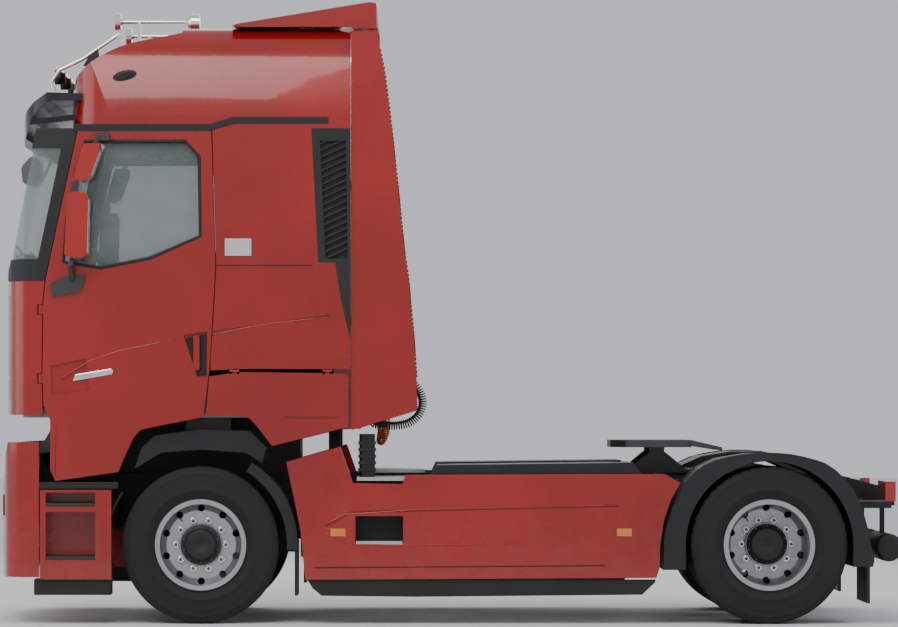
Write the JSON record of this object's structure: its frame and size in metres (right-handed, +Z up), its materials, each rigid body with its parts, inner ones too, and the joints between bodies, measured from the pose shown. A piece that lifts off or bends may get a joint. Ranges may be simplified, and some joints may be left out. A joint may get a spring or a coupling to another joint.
{
  "type": "semi truck tractor unit",
  "caption": "Two-axle articulated lorry tractor with a tilting high-roof sleeper cab, opening doors, steered front wheels, twin rear wheels and a fifth-wheel coupling.",
  "frame": {"origin": "on the ground under the middle of the vehicle's bounding box", "axes": "+X forward, +Y to the vehicle's left, +Z up"},
  "size_m": [6.14, 2.94, 4.168],
  "materials": {
    "chassis_paint": "dark satin",
    "red_paint": "gloss metallic",
    "black_plastic": "grained",
    "grey_paint": "satin",
    "aluminium": "chequered or brushed",
    "chrome": "polished",
    "lamp_lens": "clear and coloured lens",
    "glass": "tinted",
    "fabric": "woven",
    "tyre": "matt rubber",
    "steel_rim": "silver satin",
    "black_line": "gloss",
    "orange_line": "gloss"
  },
  "bodies": {
    "chassis": {"frame": "chassis_paint", "engine_block": "chassis_paint", "front_bumper": "red_paint", "lamps": "lamp_lens", "cab_steps": "red_paint", "front_mudguards": "black_plastic", "front_axle": "chassis_paint", "rear_axle": "chassis_paint", "fuel_tank": "aluminium", "exhaust_box": "aluminium", "side_skirts": "red_paint", "lower_skirts": "black_plastic", "tread_plates": "aluminium", "deck_cover": "black_plastic", "fifth_wheel_base": "chassis_paint", "rear_mudguards": "black_plastic", "air_tanks": "aluminium", "intake_pipe": "black_plastic", "cab_mounts": "chassis_paint"},
    "fifth_wheel": {"fifth_wheel_plate": "chassis_paint"},
    "cab": {"cab_floor": "grey_paint", "cab_sides": "red_paint", "side_vents": "black_plastic", "cab_rear_wall": "grey_paint", "screen_frame": "black_plastic", "front_panels": "red_paint", "windscreen": "glass", "cab_roof": "red_paint", "roof_deflector": "red_paint", "side_deflectors": "red_paint", "sun_visor": "black_plastic", "arch_extensions": "black_plastic", "roof_rail": "chrome", "horns": "chrome", "front_mirror": "black_plastic", "dashboard": "black_plastic", "seats": "fabric", "black_coil": "black_line", "orange_coil": "orange_line"},
    "door_left": {"door_left": "red_paint", "door_glass_left": "glass", "door_mirror_left": "black_plastic"},
    "door_right": {"door_right": "red_paint", "door_glass_right": "glass", "door_mirror_right": "black_plastic"},
    "front_hatch": {"front_hatch": "red_paint"},
    "locker_left": {"locker_door_left": "red_paint"},
    "locker_right": {"locker_door_right": "red_paint"},
    "knuckle_left": {"knuckle_left": "chassis_paint"},
    "knuckle_right": {"knuckle_right": "chassis_paint"},
    "wheel_front_left": {"front_tyre_left": "tyre", "front_rim_left": "steel_rim"},
    "wheel_front_right": {"front_tyre_right": "tyre", "front_rim_right": "steel_rim"},
    "wheel_rear_left": {"rear_tyres_left": "tyre", "rear_rims_left": "steel_rim"},
    "wheel_rear_right": {"rear_tyres_right": "tyre", "rear_rims_right": "steel_rim"}
  },
  "joints": [
    {"name": "steer_left", "type": "hinge", "parent": "chassis", "child": "knuckle_left", "pos_m": [1.66, 0.925, 0.528], "axis": [0, 0, 1], "range_deg": [-40, 40]},
    {"name": "steer_right", "type": "hinge", "parent": "chassis", "child": "knuckle_right", "pos_m": [1.66, -0.925, 0.528], "axis": [0, 0, 1], "range_deg": [-40, 40]},
    {"name": "spin_front_left", "type": "hinge", "parent": "knuckle_left", "child": "wheel_front_left", "pos_m": [1.66, 1.043, 0.528], "axis": [0, 1, 0], "continuous": true},
    {"name": "spin_front_right", "type": "hinge", "parent": "knuckle_right", "child": "wheel_front_right", "pos_m": [1.66, -1.043, 0.528], "axis": [0, 1, 0], "continuous": true},
    {"name": "spin_rear_left", "type": "hinge", "parent": "chassis", "child": "wheel_rear_left", "pos_m": [-2.14, 0.9, 0.528], "axis": [0, 1, 0], "continuous": true},
    {"name": "spin_rear_right", "type": "hinge", "parent": "chassis", "child": "wheel_rear_right", "pos_m": [-2.14, -0.9, 0.528], "axis": [0, 1, 0], "continuous": true},
    {"name": "fifth_wheel_tilt", "type": "hinge", "parent": "chassis", "child": "fifth_wheel", "pos_m": [-1.44, 0, 1.12], "axis": [0, 1, 0], "range_deg": [-12, 12]},
    {"name": "cab_tilt", "type": "hinge", "parent": "chassis", "child": "cab", "pos_m": [2.86, 0, 1.15], "axis": [0, 1, 0], "range_deg": [0, 60]},
    {"name": "door_left_swing", "type": "hinge", "parent": "cab", "child": "door_left", "pos_m": [2.728, 1.232, 1.9], "axis": [0, 0, -1], "range_deg": [0, 80]},
    {"name": "door_right_swing", "type": "hinge", "parent": "cab", "child": "door_right", "pos_m": [2.728, -1.232, 1.9], "axis": [0, 0, 1], "range_deg": [0, 80]},
    {"name": "front_hatch_lift", "type": "hinge", "parent": "cab", "child": "front_hatch", "pos_m": [3.012, 0, 2.284], "axis": [0, -1, 0], "range_deg": [0, 80]},
    {"name": "locker_left_lift", "type": "hinge", "parent": "cab", "child": "locker_left", "pos_m": [1.16, 1.241, 1.69], "axis": [1, 0, 0], "range_deg": [0, 80]},
    {"name": "locker_right_lift", "type": "hinge", "parent": "cab", "child": "locker_right", "pos_m": [1.16, -1.241, 1.69], "axis": [-1, 0, 0], "range_deg": [0, 80]}
  ],
  "couplings": [
    {"joint": "steer_right", "follows": "steer_left", "ratio": 1}
  ]
}
